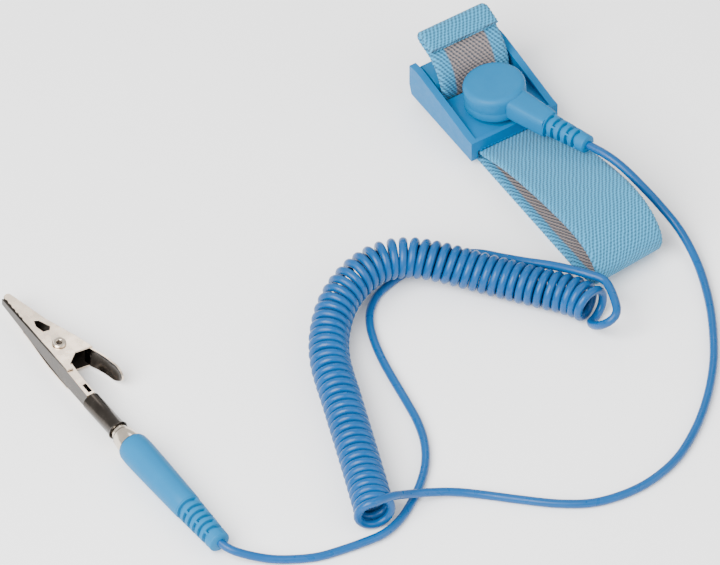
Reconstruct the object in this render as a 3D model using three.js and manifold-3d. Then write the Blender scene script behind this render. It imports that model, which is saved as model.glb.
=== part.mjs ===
// An ESD wrist strap: an elastic wristband with a conductive centre, its clamp buckle, a press-stud
// lead cap, a curly cord and an alligator clip on a moulded banana plug.
// Millimetres, +Z up. X runs along the band from its loose tail to its loop, Y across it, and the
// whole set lies on the plane Z = 0. The origin is under the middle of the wristband and buckle.
import * as THREE from 'three';
import { mergeVertices } from 'three/addons/utils/BufferGeometryUtils.js';
import Module from 'manifold-3d';

const wasm = await Module();
wasm.setup();

// ---------- driving dimensions ----------
const GAP = 0.3;                     // clearance kept between pieces that touch

const BAND_WIDTH = 20.8;
const BAND_THICKNESS = 1.6;

const BUCKLE_TAIL_END = -41.0;       // X of the end with the lever
const BUCKLE_LOOP_END = -12.2;       // X of the end that holds the band
const BUCKLE_HALF_WIDTH = 12.9;
const CHEEK_THICKNESS = 1.9;
const BUCKLE_BOTTOM = 2.2;
const CHEEK_TOP = 12.0;
const DECK_BOTTOM = 4.7;
const DECK_TOP = 7.8;
const DECK_TAIL_END = -28.9;
const DECK_RIM_TOP = 8.4;
const FLOOR_TOP = 3.3;

const LEVER_PIVOT = [-34.4, 8.4];    // X, Z of the lever's pin
const LEVER_CAM_RADIUS = 2.9;
const LEVER_PIN_RADIUS = 1.0;

const STUD = [-20.8, 0];             // X, Y of the press stud
const STUD_BEAD_RADIUS = 2.0;

const CAP_RADIUS = 8.0;
const CAP_HEIGHT = 7.0;
const CAP_BOTTOM = 9.0;              // Z of the middle of the cap's underside
const CAP_TURN = 16;                 // degrees from +X to the neck
const CAP_TILT = 6.5;                // degrees that the band under the neck lifts it
const NECK_END = 18;
const RELIEF_END = 31;

const CORD_RADIUS = 1.1;
const COIL_RADIUS = 5.2;

const PLUG_ORIGIN = [19.3, -137.6, 4.2];   // where the plug's collar meets the clip's barrel
const PLUG_TURN = 1.2;                     // degrees from +X to the plug's axis
const BOOT_START = 5.2;
const BOOT_END = 30.5;
const PLUG_RELIEF_END = 45.0;

const BARREL_LENGTH = 12.6;
const BARREL_RADIUS = 2.4;
const SHEET = 0.45;                  // the clip's sheet steel
const CLIP_PIVOT = [-30.6, 2.4];     // on the plug's axes
const CLIP_HALF_WIDTH = 3.4;

// ---------- finishes ----------
const finish = (color, roughness, metalness) =>
  new THREE.MeshStandardMaterial({ color, roughness, metalness });
const knit = finish('#8fc4dc', 0.9, 0);
const bluePlastic = finish('#5aaede', 0.45, 0);
const deepBluePlastic = finish('#3f97cc', 0.5, 0);
const cordBlue = finish('#2f7fbe', 0.35, 0);
const steel = finish('#c9c9c6', 0.28, 1);
const nickel = finish('#d8d2c8', 0.2, 1);
const blackPlastic = finish('#2b2b2b', 0.5, 0);
const resistorBody = finish('#c9b48a', 0.6, 0);

// ---------- shape helpers ----------
const shapeOf = (points) => new THREE.Shape(points.map(([x, y]) => new THREE.Vector2(x, y)));

// A side outline in X and Z, drawn out across Y.
function across(points, y0, y1, steps = 1) {
  const options = { depth: y1 - y0, bevelEnabled: false, steps };
  const geometry = new THREE.ExtrudeGeometry(shapeOf(points), options);
  geometry.rotateX(Math.PI / 2);
  geometry.translate(0, y1, 0);
  return geometry;
}

// A plan outline in X and Y, drawn out upwards.
function upwards(points, z0, z1) {
  const geometry = new THREE.ExtrudeGeometry(shapeOf(points), { depth: z1 - z0, bevelEnabled: false });
  geometry.translate(0, 0, z0);
  return geometry;
}

function box(x0, x1, y0, y1, z0, z1) {
  const geometry = new THREE.BoxGeometry(x1 - x0, y1 - y0, z1 - z0);
  geometry.translate((x0 + x1) / 2, (y0 + y1) / 2, (z0 + z1) / 2);
  return geometry;
}

// A disc or post standing on the X-Y plane.
function post(radius, z0, z1, x = 0, y = 0, sides = 24) {
  const geometry = new THREE.CylinderGeometry(radius, radius, z1 - z0, sides);
  geometry.rotateX(Math.PI / 2);
  geometry.translate(x, y, (z0 + z1) / 2);
  return geometry;
}

// A turned piece: [radius, height] pairs, turned about Z, or laid along X when flat.
function turned(profile, sides = 24) {
  const geometry = new THREE.LatheGeometry(profile.map(([r, h]) => new THREE.Vector2(r, h)), sides);
  geometry.rotateX(Math.PI / 2);
  return geometry;
}

function turnedAlongX(profile, sides = 24) {
  const geometry = turned(profile, sides);
  geometry.rotateY(Math.PI / 2);
  return geometry;
}

// A round bar along a smooth curve through the points.
function bar(points, radius, sides, steps) {
  const curve = new THREE.CatmullRomCurve3(points.map((p) => new THREE.Vector3(...p)), false, 'centripetal');
  const section = new THREE.Shape();
  section.absarc(0, 0, radius, 0, Math.PI * 2);
  const options = { steps, bevelEnabled: false, extrudePath: curve, curveSegments: sides };
  return new THREE.ExtrudeGeometry(section, options);
}

// Only positions, with shared corners merged.
function welded(geometry) {
  geometry.deleteAttribute('normal');
  geometry.deleteAttribute('uv');
  return mergeVertices(geometry, 1e-4);
}

// A solid for joining and cutting. Faces are turned to point outwards first.
function solid(geometry) {
  const clean = welded(geometry);
  const vertProperties = new Float32Array(clean.attributes.position.array);
  const triVerts = new Uint32Array(clean.index.array);
  let volume = 0;
  const corner = (i) => new THREE.Vector3().fromArray(vertProperties, 3 * triVerts[i]);
  for (let i = 0; i < triVerts.length; i += 3) {
    volume += corner(i).dot(corner(i + 1).cross(corner(i + 2)));
  }
  if (volume < 0) {
    for (let i = 0; i < triVerts.length; i += 3) {
      [triVerts[i + 1], triVerts[i + 2]] = [triVerts[i + 2], triVerts[i + 1]];
    }
  }
  return new wasm.Manifold(new wasm.Mesh({ numProp: 3, vertProperties, triVerts }));
}

function geometryOf(manifold) {
  const mesh = manifold.getMesh();
  const geometry = new THREE.BufferGeometry();
  geometry.setAttribute('position', new THREE.BufferAttribute(new Float32Array(mesh.vertProperties), 3));
  geometry.setIndex(new THREE.BufferAttribute(new Uint32Array(mesh.triVerts), 1));
  return geometry;
}

const join = (...geometries) => geometries.map(solid).reduce((a, b) => a.add(b));
const cut = (body, ...geometries) => geometries.map(solid).reduce((a, b) => a.subtract(b), body);

// The band's outline is drawn from the buckle's rivet. This brings the middle of the wristband over
// the origin and its lowest face onto Z = 0.
const assembly = new THREE.Group();
assembly.position.set(0.72, 0, 0.036);

// Adds one named piece. A manifold or a geometry is given.
function piece(name, shape, material, parent = assembly) {
  const geometry = shape.isBufferGeometry ? geometryOf(solid(shape)) : geometryOf(shape);
  geometry.computeVertexNormals();
  const mesh = new THREE.Mesh(geometry, material);
  mesh.name = name;
  parent.add(mesh);
  return mesh;
}

// ---------- wristband ----------
// The middle line of the band's thickness, in X and Z: from the riveted end under the deck, round
// the loop, back under the buckle, round its floor, under the lever, up through the slot and over
// to the hem, which is folded back on itself.
const BAND_LINE = [
  [-27.6, 3.6], [-24, 3.6], [-18, 3.6], [-12.6, 3.75], [-8.4, 5.1], [-3.3, 7.1], [4, 9.1],
  [12.5, 11.0], [20, 12.4], [27, 13.1], [33, 12.6], [37.4, 10.7], [39.9, 7.8], [40.0, 4.9],
  [37.9, 2.3], [34, 1.0], [28, 0.8], [14, 0.8], [-6, 0.8], [-26, 0.8], [-37.6, 0.8], [-39.8, 1.3],
  [-40.5, 2.6], [-39.8, 3.9], [-37.6, 4.4], [-34.6, 4.4], [-32.2, 4.7], [-30.7, 5.9], [-30.4, 7.8],
  [-30.5, 9.8], [-31.3, 12.4], [-32.9, 15.1], [-35.1, 17.1], [-38, 18.3], [-40.7, 19.1],
  [-41.7, 20.2], [-40.4, 21.0], [-38, 20.4], [-35.4, 19.6],
];
const BAND_STEPS = 128;

function bandOutline() {
  const line = new THREE.SplineCurve(BAND_LINE.map(([x, z]) => new THREE.Vector2(x, z)));
  const outer = [];
  const inner = [];
  for (let i = 0; i <= BAND_STEPS; i += 1) {
    const t = i / BAND_STEPS;
    const middle = line.getPoint(t);
    const along = line.getTangent(t);
    const side = [-along.y * BAND_THICKNESS / 2, along.x * BAND_THICKNESS / 2];
    outer.push([middle.x + side[0], middle.y + side[1]]);
    inner.push([middle.x - side[0], middle.y - side[1]]);
  }
  return [...outer, ...inner.reverse()];
}

const rivetHole = post(1.3, 2, 5, STUD[0], STUD[1], 16);
piece('wristband', cut(solid(across(bandOutline(), -BAND_WIDTH / 2, BAND_WIDTH / 2)), rivetHole), knit);

// ---------- buckle ----------
// Each cheek stands tall beside the lever and steps down to the deck.
const CHEEK = [
  [-40.0, BUCKLE_BOTTOM], [BUCKLE_LOOP_END, BUCKLE_BOTTOM], [BUCKLE_LOOP_END, DECK_RIM_TOP],
  [-24.6, DECK_RIM_TOP], [-26.0, 8.9], [-27.6, 10.6], [-29.2, 11.5], [-32, CHEEK_TOP],
  [-38, CHEEK_TOP], [BUCKLE_TAIL_END, 11.6], [BUCKLE_TAIL_END, 5.2],
];

function buckleHousing() {
  const inside = BUCKLE_HALF_WIDTH - CHEEK_THICKNESS;
  const overlap = inside + 0.5;
  const body = join(
    across(CHEEK, inside, BUCKLE_HALF_WIDTH),
    across(CHEEK, -BUCKLE_HALF_WIDTH, -inside),
    box(DECK_TAIL_END, BUCKLE_LOOP_END, -overlap, overlap, DECK_BOTTOM, DECK_TOP),
    box(BUCKLE_LOOP_END - 1.2, BUCKLE_LOOP_END, -overlap, overlap, DECK_BOTTOM, DECK_RIM_TOP),
    box(-38.4, -32.8, -overlap, overlap, BUCKLE_BOTTOM, FLOOR_TOP),
  );
  const socket = new THREE.CylinderGeometry(LEVER_PIN_RADIUS + GAP, LEVER_PIN_RADIUS + GAP, 24.2, 16);
  socket.translate(LEVER_PIVOT[0], 0, LEVER_PIVOT[1]);
  return cut(body, socket, post(1.3, 4, 9, STUD[0], STUD[1], 16));
}

piece('buckle_housing', buckleHousing(), bluePlastic);

// ---------- lever and its pin ----------
function clampLever() {
  const [px, pz] = LEVER_PIVOT;
  const outline = [];
  for (let i = 0; i <= 12; i += 1) {
    const angle = -Math.PI / 2 + (Math.PI * i) / 12;
    outline.push([px + LEVER_CAM_RADIUS * Math.cos(angle), pz + LEVER_CAM_RADIUS * Math.sin(angle)]);
  }
  const under = pz - LEVER_CAM_RADIUS;
  outline.push([-38.6, 11.3], [-39.9, 11.0], [-40.3, 10.2], [-39.9, 9.3], [-37.6, 8.2]);
  for (let tooth = 0; tooth < 3; tooth += 1) {
    const x = -37.2 + tooth * 0.9;
    outline.push([x, under + 0.1], [x + 0.45, under + 0.75]);
  }
  const body = solid(across(outline, -10.4, 10.4));
  const bore = new THREE.CylinderGeometry(LEVER_PIN_RADIUS + GAP, LEVER_PIN_RADIUS + GAP, 24, 16);
  bore.translate(px, 0, pz);
  return cut(body, bore);
}

piece('clamp_lever', clampLever(), deepBluePlastic);

const pin = new THREE.CylinderGeometry(LEVER_PIN_RADIUS, LEVER_PIN_RADIUS, 23.4, 16);
pin.translate(LEVER_PIVOT[0], 0, LEVER_PIVOT[1]);
piece('lever_pivot_pin', pin, steel);

// ---------- skin contact plate, rivet and stud ----------
const PLATE = [
  [-27, -7], [-25.5, -8.5], [-15.5, -8.5], [-14, -7], [-14, 7], [-15.5, 8.5], [-25.5, 8.5], [-27, 7],
];
piece('skin_contact_plate',
  cut(solid(upwards(PLATE, 1.9, 2.5)), post(2.9, 1, 3, STUD[0], STUD[1])), steel);

const atStud = (geometry) => geometry.translate(STUD[0], STUD[1], 0);
piece('stud_rivet', atStud(turned([[0, 1.95], [2.6, 1.95], [2.6, 2.5], [1.0, 2.5], [0.8, 3], [0.8, 10.4], [0, 10.4]])), steel);
piece('snap_stud', atStud(turned([
  [1.1, DECK_TOP + GAP], [4.6, DECK_TOP + GAP], [4.6, 8.3], [1.9, 8.45], [1.55, 9.2], [1.55, 10.3],
  [STUD_BEAD_RADIUS, 10.8], [STUD_BEAD_RADIUS, 11.3], [1.5, 11.8], [0, 11.8], [0, 10.9],
  [1.1, 10.9], [1.1, DECK_TOP + GAP],
])), nickel);

// ---------- snap cap: its own X axis runs out along the neck ----------
const cap = new THREE.Group();
cap.position.set(STUD[0], STUD[1], CAP_BOTTOM);
cap.rotation.set(0, THREE.MathUtils.degToRad(-CAP_TILT), THREE.MathUtils.degToRad(CAP_TURN), 'ZYX');
assembly.add(cap);

const NECK_SIDE = [
  [4, 0.2], [NECK_END, -0.5], [NECK_END, 4.9], [8.5, 6.1], [4, 6.1],
];
const NECK_PLAN = [
  [3, -3.9], [8, -3.6], [NECK_END, -2.8], [NECK_END, 2.8], [8, 3.6], [3, 3.9],
];
const NECK_AXIS_HEIGHT = 2.2;

function capShell() {
  const round = 1.2;
  const profile = [[0, 0], [CAP_RADIUS - 0.4, 0], [CAP_RADIUS, 0.4]];
  for (let i = 0; i <= 4; i += 1) {
    const angle = (Math.PI / 2) * (i / 4);
    profile.push([CAP_RADIUS - round + round * Math.cos(angle), CAP_HEIGHT - round + round * Math.sin(angle)]);
  }
  profile.push([0, CAP_HEIGHT]);
  const neck = solid(across(NECK_SIDE, -5, 5)).intersect(solid(upwards(NECK_PLAN, -2, 8)));
  const body = solid(turned(profile, 40)).add(neck);
  const cavity = post(5.6, -1, 5.4, 0, 0, 32);
  const bore = turnedAlongX([[0, 3], [1.5, 3], [1.5, NECK_END + 1], [0, NECK_END + 1]], 16);
  bore.translate(0, 0, NECK_AXIS_HEIGHT);
  return cut(body, cavity, bore);
}

piece('snap_cap_shell', capShell(), bluePlastic, cap);
piece('socket_retainer', turned([[3.5, 0], [5.3, 0], [5.3, 0.45], [3.5, 0.45], [3.5, 0]], 32), blackPlastic, cap);
piece('snap_socket', turned([
  [0, 5.0], [0, 4.6], [3.1, 4.6], [3.1, 0.75], [5.3, 0.75], [5.3, 1.1], [3.5, 1.1], [3.5, 5.0], [0, 5.0],
], 32), nickel, cap);

// The wire ring that snaps behind the stud's bead is split on one side.
function splitRing() {
  const points = [];
  for (let i = 0; i <= 16; i += 1) {
    const angle = THREE.MathUtils.degToRad(20 + 20 * i);
    points.push([2.62 * Math.cos(angle), 2.62 * Math.sin(angle), 1.3]);
  }
  return bar(points, 0.2, 6, 20);
}
piece('socket_spring', splitRing(), steel, cap);

const resistor = turnedAlongX([
  [0, 6.4], [0.3, 6.4], [0.3, 8.6], [1.0, 8.8], [1.15, 9.4], [0.95, 10.4], [0.95, 13.2], [1.15, 14.2],
  [1.0, 14.8], [0.3, 15.0], [0.3, 17.2], [0, 17.2],
], 12);
resistor.translate(0, 0, NECK_AXIS_HEIGHT);
piece('series_resistor', resistor, resistorBody, cap);

// A tapered sleeve with ring grooves, from one radius to another.
function ribbedSleeve(start, end, startRadius, endRadius, grooves, depth) {
  const profile = [[0, start], [startRadius - 0.3, start]];
  const pitch = (end - start - 1.6) / grooves;
  const radiusAt = (x) => startRadius + ((endRadius - startRadius) * (x - start)) / (end - start);
  for (let i = 0; i < grooves; i += 1) {
    const x = start + 0.8 + i * pitch;
    profile.push([radiusAt(x), x], [radiusAt(x) - depth, x + 0.25 * pitch]);
    profile.push([radiusAt(x) - depth, x + 0.45 * pitch], [radiusAt(x), x + 0.7 * pitch]);
  }
  profile.push([endRadius, end - 0.5], [endRadius - 0.4, end], [0, end]);
  return turnedAlongX(profile, 20);
}

const capRelief = ribbedSleeve(NECK_END + GAP, RELIEF_END, 2.8, 2.3, 5, 0.45);
capRelief.translate(0, 0, NECK_AXIS_HEIGHT);
piece('snap_strain_relief', capRelief, bluePlastic, cap);

// ---------- cord ----------
// From the snap cap, over the edge of the band, round to the side of the coil's near end.
const SNAP_LEAD = [
  [9.4, 8.75, 14.7], [14.0, 10.2, 14.9], [18.9, 12.0, 13.6], [24.1, 13.9, 10.9], [30.2, 16.0, 7.2],
  [37.1, 17.2, 4.0], [47.0, 15.9, 1.8], [58.9, 11.6, 1.15], [69.5, 6.0, 1.15], [78.2, 0.2, 1.15],
  [87.4, -8.0, 1.15], [94.5, -16.4, 1.15], [99.8, -25.3, 1.15], [102.4, -35.0, 1.15], [102.4, -42.9, 1.15],
  [100.6, -50.5, 1.15], [96.4, -57.5, 1.15], [90.2, -64.7, 1.15], [83.6, -71.8, 1.15], [79.6, -77.3, 1.7],
  [77.4, -82.7, 3.0], [76.4, -87.5, 3.9], [75.6, -92.7, 5.0],
];
// The middle line of the coil, lifted where the clip's lead passes under it.
const COIL_LINE = [
  [76.8, -99.3, 5.2], [67.5, -95.7, 5.2], [54.3, -90.8, 5.2], [41.2, -86.0, 5.2], [28.4, -81.2, 5.2],
  [20.4, -76.2, 5.4], [13.8, -69.4, 6.4], [9.9, -61.4, 7.5], [9.0, -53.6, 7.9], [11.0, -47.4, 7.8],
  [16.0, -41.2, 7.2], [22.0, -35.2, 6.0], [28.6, -29.4, 5.3], [35.6, -23.8, 5.2], [43.8, -17.6, 5.2],
  [50.4, -13.6, 5.2],
];
// From the coil's far end, down behind it, under it, across the table and round to the plug.
const CLIP_LEAD = [
  [45.6, -10.6, 9.5], [41.6, -12.7, 9.9], [36.8, -15.2, 9.1], [31.6, -18.0, 7.6], [26.2, -21.2, 6.0],
  [20.6, -24.6, 4.2], [15.0, -29.0, 2.3], [11.2, -34.4, 1.2], [9.8, -42.0, 1.15], [10.6, -50.6, 1.15],
  [12.8, -57.2, 1.15], [16.2, -61.4, 1.15], [20.4, -64.2, 1.15], [25.4, -66.2, 1.15], [32.0, -68.0, 1.15],
  [39.6, -69.4, 1.15], [47.0, -70.6, 1.15], [54.2, -72.0, 1.15], [60.9, -74.3, 1.15], [66.8, -77.8, 1.15],
  [71.9, -82.5, 1.15], [76.2, -88.0, 1.15], [79.2, -93.8, 1.15], [81.0, -100.2, 1.15], [81.4, -106.4, 1.15],
  [80.6, -112.2, 1.15], [79.0, -117.4, 1.15], [76.7, -122.4, 1.15], [73.9, -127.2, 1.4], [70.6, -132.0, 2.6],
  [67.2, -135.6, 3.9], [64.9, -136.65, 4.2],
];

piece('cord_snap_lead', bar(SNAP_LEAD, CORD_RADIUS, 8, 36), cordBlue);
piece('cord_coil', bar(COIL_LINE, COIL_RADIUS, 12, 22), cordBlue);
piece('cord_clip_lead', bar(CLIP_LEAD, CORD_RADIUS, 8, 42), cordBlue);

// ---------- plug: its own X axis runs from the clip to the cord ----------
const plug = new THREE.Group();
plug.position.set(...PLUG_ORIGIN);
plug.rotation.z = THREE.MathUtils.degToRad(PLUG_TURN);
assembly.add(plug);

piece('banana_plug', turnedAlongX([
  [0, -12.0], [0.9, -12.0], [1.25, -11.4], [1.25, 0], [2.2, 0], [2.2, 0.9], [2.9, 1.6], [3.3, 4.7],
  [3.3, 4.9], [2.2, 5.0], [2.2, 15.4], [1.4, 16], [0, 16],
], 28), nickel, plug);

// The springy cage round the pin bulges to grip the barrel.
piece('banana_spring', turnedAlongX([
  [1.55, -11], [1.7, -11], [1.78, -6], [1.7, -1], [1.55, -1], [1.55, -11],
], 16), nickel, plug);

function plugBoot() {
  const body = solid(turnedAlongX([
    [0, BOOT_START], [3.5, BOOT_START], [4.0, 5.9], [4.15, 7.2], [4.1, 12], [3.85, 22], [3.6, BOOT_END],
    [0, BOOT_END],
  ], 32));
  return cut(body, turnedAlongX([[0, 4], [2.5, 4], [2.5, 17], [1.4, 18.4], [1.4, 32], [0, 32]], 20));
}
piece('plug_boot', plugBoot(), bluePlastic, plug);
piece('plug_strain_relief', ribbedSleeve(BOOT_END + GAP, PLUG_RELIEF_END, 3.5, 2.9, 6, 0.5), bluePlastic, plug);

// ---------- alligator clip, on the plug's axes, lying on its side ----------
// A wedge in X and Z that narrows towards the tip.
const wedge = (pivotHalf, tipHalf, tailHalf) => across([
  [-54.5, -tipHalf], [CLIP_PIVOT[0], -pivotHalf], [-22, -pivotHalf], [-12, -tailHalf],
  [-12, tailHalf], [-22, pivotHalf], [CLIP_PIVOT[0], pivotHalf], [-54.5, tipHalf],
], -4, 14);

const pivotPost = (radius, half, sides = 20) => post(radius, -half, half, CLIP_PIVOT[0], CLIP_PIVOT[1], sides);

// A row of saw teeth along a mouth edge, pointing up or down.
function teeth(x0, y0, x1, y1, count, height) {
  const points = [];
  for (let i = 0; i < count; i += 1) {
    const t = i / count;
    const u = (i + 0.5) / count;
    points.push([x0 + (x1 - x0) * t, y0 + (y1 - y0) * t]);
    points.push([x0 + (x1 - x0) * u, y0 + (y1 - y0) * u + height]);
  }
  return points;
}

function lowerJaw() {
  const outline = [
    [-53.5, 0.2], [CLIP_PIVOT[0], -0.6], [-12.6, -0.9], [-12.6, 0.9], [-19, 1.1], [-25.4, 1.7],
    [-27.4, 4.4], [-33.4, 4.4], [-34.6, 2.3], [-37.3, 2.0], [-38.4, 1.0], [-41.4, 0.9],
    ...teeth(-42.6, 1.1, -53.5, 0.75, 6, 0.35),
  ];
  const hollow = [
    [-54.5, 0.65], [CLIP_PIVOT[0], -0.15], [-16.5, -0.45], [-16.5, 8], [-54.5, 8],
  ];
  const body = solid(upwards(outline, -4, 4)).intersect(solid(wedge(2.65, 1.2, 2.3)));
  const inner = solid(upwards(hollow, -4, 4)).intersect(solid(wedge(2.2, 0.8, 1.8)));
  const sleeve = solid(turnedAlongX([
    [0, -BARREL_LENGTH - 1.2], [BARREL_RADIUS - 0.6, -BARREL_LENGTH - 1.2], [BARREL_RADIUS, -BARREL_LENGTH],
    [BARREL_RADIUS, -1.2], [BARREL_RADIUS + 0.35, -0.6], [0, -0.6],
  ], 28));
  const bore = turnedAlongX([[0, -BARREL_LENGTH - 0.3], [2.05, -BARREL_LENGTH - 0.3], [2.05, 1], [0, 1]], 20);
  return cut(body.subtract(inner).add(sleeve), bore, pivotPost(1.3, 5));
}

function upperJaw() {
  const outline = [
    [-53.7, 1.9], ...teeth(-53.7, 1.35, -42.4, 2.0, 6, -0.3), [-41.4, 2.9], [-38.6, 3.0], [-37.0, 1.9],
    [-34.6, 0.3], [-27.4, 0.1], [-24.6, 1.6], [-26.8, 5.4], [-26.2, 10.4],
  ];
  const hollow = [
    [-55, -2], [-20, -2], [-20, 9.6], [-26.1, 9.85], [-53.4, 1.3], [-55, 0.8],
  ];
  const body = solid(upwards(outline, -5, 5)).intersect(solid(wedge(CLIP_HALF_WIDTH, 1.95, 3)));
  const inner = solid(upwards(hollow, -5, 5)).intersect(solid(wedge(CLIP_HALF_WIDTH - SHEET, 1.5, 2.6)));
  const lever = upwards([
    [-27.6, 9.95], [-24, 11.1], [-21.6, 11.5], [-19.6, 11.1], [-18.3, 9.9], [-18.1, 8.2], [-18.6, 8.1],
    [-18.9, 9.5], [-19.9, 10.6], [-21.6, 10.95], [-23.8, 10.6], [-27.4, 9.4],
  ], -2.9, 2.9);
  return cut(body.subtract(inner).add(solid(lever)), pivotPost(1.3, 5));
}

piece('clip_lower_jaw', lowerJaw(), nickel, plug);
piece('clip_upper_jaw', upperJaw(), nickel, plug);

const rivet = turned([
  [0, -4.05], [1.7, -4.05], [1.8, -3.75], [1.0, -3.7], [1.0, 3.7], [1.8, 3.75], [1.7, 4.05],
  [0.8, 4.05], [0.6, 3.4], [0, 3.4],
], 20);
rivet.translate(CLIP_PIVOT[0], CLIP_PIVOT[1], 0);
piece('clip_pivot_rivet', rivet, steel, plug);

// Three turns of wire round the rivet, with a short leg at each end.
function torsionSpring() {
  const points = [[-34.4, 0.9, -1.35]];
  for (let i = 0; i <= 36; i += 1) {
    const angle = THREE.MathUtils.degToRad(-90 + 30 * i);
    points.push([
      CLIP_PIVOT[0] + 1.75 * Math.cos(angle), CLIP_PIVOT[1] + 1.75 * Math.sin(angle), -1.35 + 2.7 * (i / 36),
    ]);
  }
  points.push([-26.6, 0.9, 1.35]);
  return bar(points, 0.3, 6, 60);
}
piece('clip_torsion_spring', torsionSpring(), steel, plug);

export default assembly;
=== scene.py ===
"""ESD wrist strap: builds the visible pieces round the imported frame, as a small add-on.

Lengths are written in millimetres in the strap's own layout, and turned into metres of the row frame.
"""

import math
import random

import bmesh
import bpy
from mathutils import Matrix, Vector


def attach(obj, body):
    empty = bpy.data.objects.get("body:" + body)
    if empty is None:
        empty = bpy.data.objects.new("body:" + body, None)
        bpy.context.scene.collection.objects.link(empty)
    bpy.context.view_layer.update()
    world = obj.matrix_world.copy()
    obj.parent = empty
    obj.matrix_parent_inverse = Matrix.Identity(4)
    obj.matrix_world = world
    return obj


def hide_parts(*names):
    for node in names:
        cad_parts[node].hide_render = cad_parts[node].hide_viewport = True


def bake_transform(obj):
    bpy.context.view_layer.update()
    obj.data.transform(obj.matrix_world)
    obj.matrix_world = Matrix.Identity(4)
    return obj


bl_info = {
    "name": "ESD wrist strap",
    "version": (1, 0, 0),
    "blender": (4, 5, 0),
    "location": "3D view > Sidebar > Wrist strap",
    "description": "Builds an elastic ESD wristband with its buckle, snap lead, curly cord and alligator clip",
    "category": "Add Mesh",
}

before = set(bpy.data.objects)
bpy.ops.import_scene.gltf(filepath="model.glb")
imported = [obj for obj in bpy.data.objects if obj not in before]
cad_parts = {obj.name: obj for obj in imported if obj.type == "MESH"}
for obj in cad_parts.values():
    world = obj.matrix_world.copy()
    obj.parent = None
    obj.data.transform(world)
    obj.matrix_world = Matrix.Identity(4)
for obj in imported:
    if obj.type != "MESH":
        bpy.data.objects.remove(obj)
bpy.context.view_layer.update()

MM = 0.001
ROW = Matrix.Translation(Vector((0.72, 0.0, 0.036)) * MM) @ Matrix.Scale(MM, 4)
STUD = (-20.8, 0.0)
CAP = (ROW @ Matrix.Translation((STUD[0], STUD[1], 9.0)) @ Matrix.Rotation(math.radians(16), 4, "Z")
       @ Matrix.Rotation(math.radians(-6.5), 4, "Y"))
PLUG = ROW @ Matrix.Translation((19.3, -137.6, 4.2)) @ Matrix.Rotation(math.radians(1.2), 4, "Z")
NECK_AXIS = 2.2
CLIP_PIVOT = (-30.6, 2.4)


# ---------- settings ----------
class StrapSettings(bpy.types.PropertyGroup):
    band_width: bpy.props.FloatProperty(
        name="Band width", description="Width of the elastic band over its selvedges",
        default=20.8 * MM, min=0.015, max=0.03, unit="LENGTH", subtype="DISTANCE")
    band_thickness: bpy.props.FloatProperty(
        name="Band thickness", description="Thickness of the elastic band",
        default=1.6 * MM, min=0.001, max=0.003, unit="LENGTH", subtype="DISTANCE")
    rib_pitch: bpy.props.FloatProperty(
        name="Rib pitch", description="Distance between the band's slanting ribs",
        default=0.92 * MM, min=0.0005, max=0.003, unit="LENGTH", subtype="DISTANCE")
    cord_diameter: bpy.props.FloatProperty(
        name="Cord diameter", description="Outer diameter of the cord's jacket",
        default=2.2 * MM, min=0.001, max=0.004, unit="LENGTH", subtype="DISTANCE")
    cord_length: bpy.props.FloatProperty(
        name="Cord length", description="Length of the whole cord, its coil unwound",
        default=1.91, min=1.0, max=3.0, unit="LENGTH", subtype="DISTANCE")
    coil_turns: bpy.props.IntProperty(
        name="Coil turns", description="Turns in the curly stretch", default=58, min=20, max=90)
    coil_radius: bpy.props.FloatProperty(
        name="Coil radius", description="Radius of the coil to the middle of the cord",
        default=4.1 * MM, min=0.003, max=0.006, unit="LENGTH", subtype="DISTANCE")
    light_power: bpy.props.FloatProperty(
        name="Key light", description="Power of the large soft light",
        default=34.0, min=0.0, max=200.0, unit="POWER")


# ---------- materials ----------
def linear(hex_colour):
    """The one place where an sRGB hex colour becomes linear."""
    values = [int(hex_colour[i:i + 2], 16) / 255 for i in (1, 3, 5)]
    return [v / 12.92 if v <= 0.04045 else ((v + 0.055) / 1.055) ** 2.4 for v in values] + [1.0]


def add(tree, kind, inputs=None, **settings):
    """Adds one node with its settings. An input is a value, or another node's output."""
    node = tree.nodes.new(kind)
    for name, value in settings.items():
        setattr(node, name, value)
    for name, value in (inputs or {}).items():
        if isinstance(value, bpy.types.NodeSocket):
            tree.links.new(value, node.inputs[name])
        else:
            node.inputs[name].default_value = value
    return node


def new_material(name):
    """An empty node material with its output, and its millimetre coordinates."""
    material = bpy.data.materials.new(name)
    material.use_nodes = True
    tree = material.node_tree
    tree.nodes.clear()
    place = add(tree, "ShaderNodeTexCoord").outputs["Object"]
    millimetres = add(tree, "ShaderNodeVectorMath", {0: place, "Scale": 1 / MM}, operation="SCALE")
    return material, tree, millimetres.outputs["Vector"]


def finish_material(tree, inputs):
    shader = add(tree, "ShaderNodeBsdfPrincipled", inputs)
    add(tree, "ShaderNodeOutputMaterial", {"Surface": shader.outputs["BSDF"]})


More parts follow.
